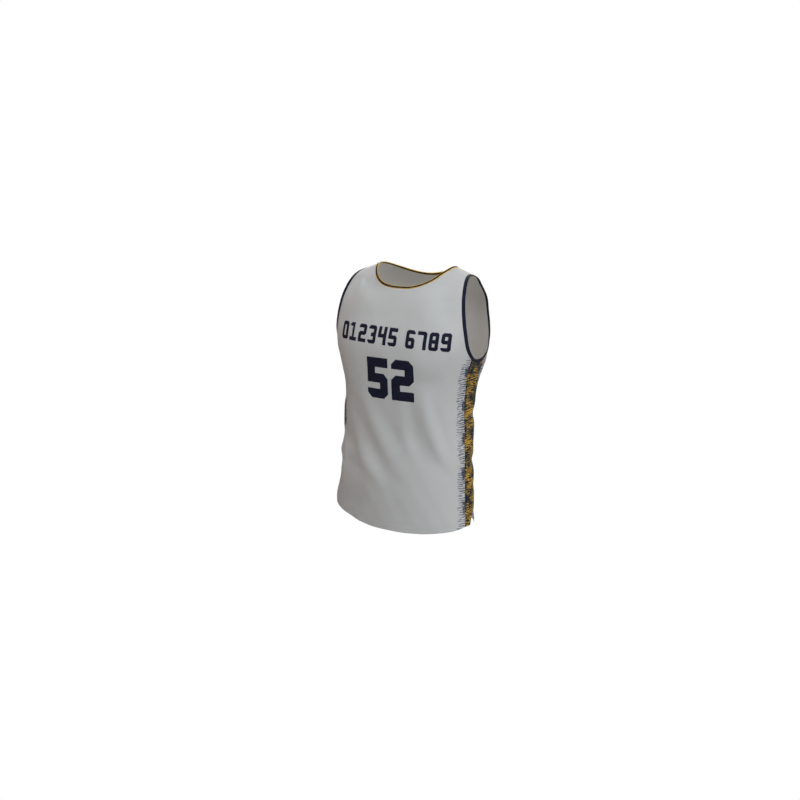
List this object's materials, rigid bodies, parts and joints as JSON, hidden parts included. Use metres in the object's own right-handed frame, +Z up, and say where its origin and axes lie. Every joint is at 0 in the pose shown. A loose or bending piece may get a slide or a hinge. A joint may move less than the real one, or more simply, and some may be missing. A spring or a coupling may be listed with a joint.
{
  "type": "basketball jersey",
  "caption": "Sleeveless basketball jersey, hollow and filled out as worn, with bound neck and armholes, side panels and hem vents.",
  "frame": {"origin": "Midway between the neck ends of the two shoulder seams, where the straps hang", "axes": "+Z up along the garment's length, the front faces -Y, +X to the wearer's left"},
  "size_m": [0.451, 0.2718, 0.7349],
  "materials": {
    "body_knit": "matt polyester mesh knit, off-white, printed navy",
    "side_knit": "matt polyester knit with a navy and gold brush print",
    "neck_band": "folded rib binding, gold with a navy centre stripe",
    "armhole_band": "folded rib binding, navy"
  },
  "bodies": {
    "root": {"front_panel": "body_knit", "back_panel": "body_knit", "side_panel_left": "side_knit", "side_panel_right": "side_knit", "neck_binding": "neck_band", "armhole_binding_left": "armhole_band", "armhole_binding_right": "armhole_band"}
  },
  "joints": []
}
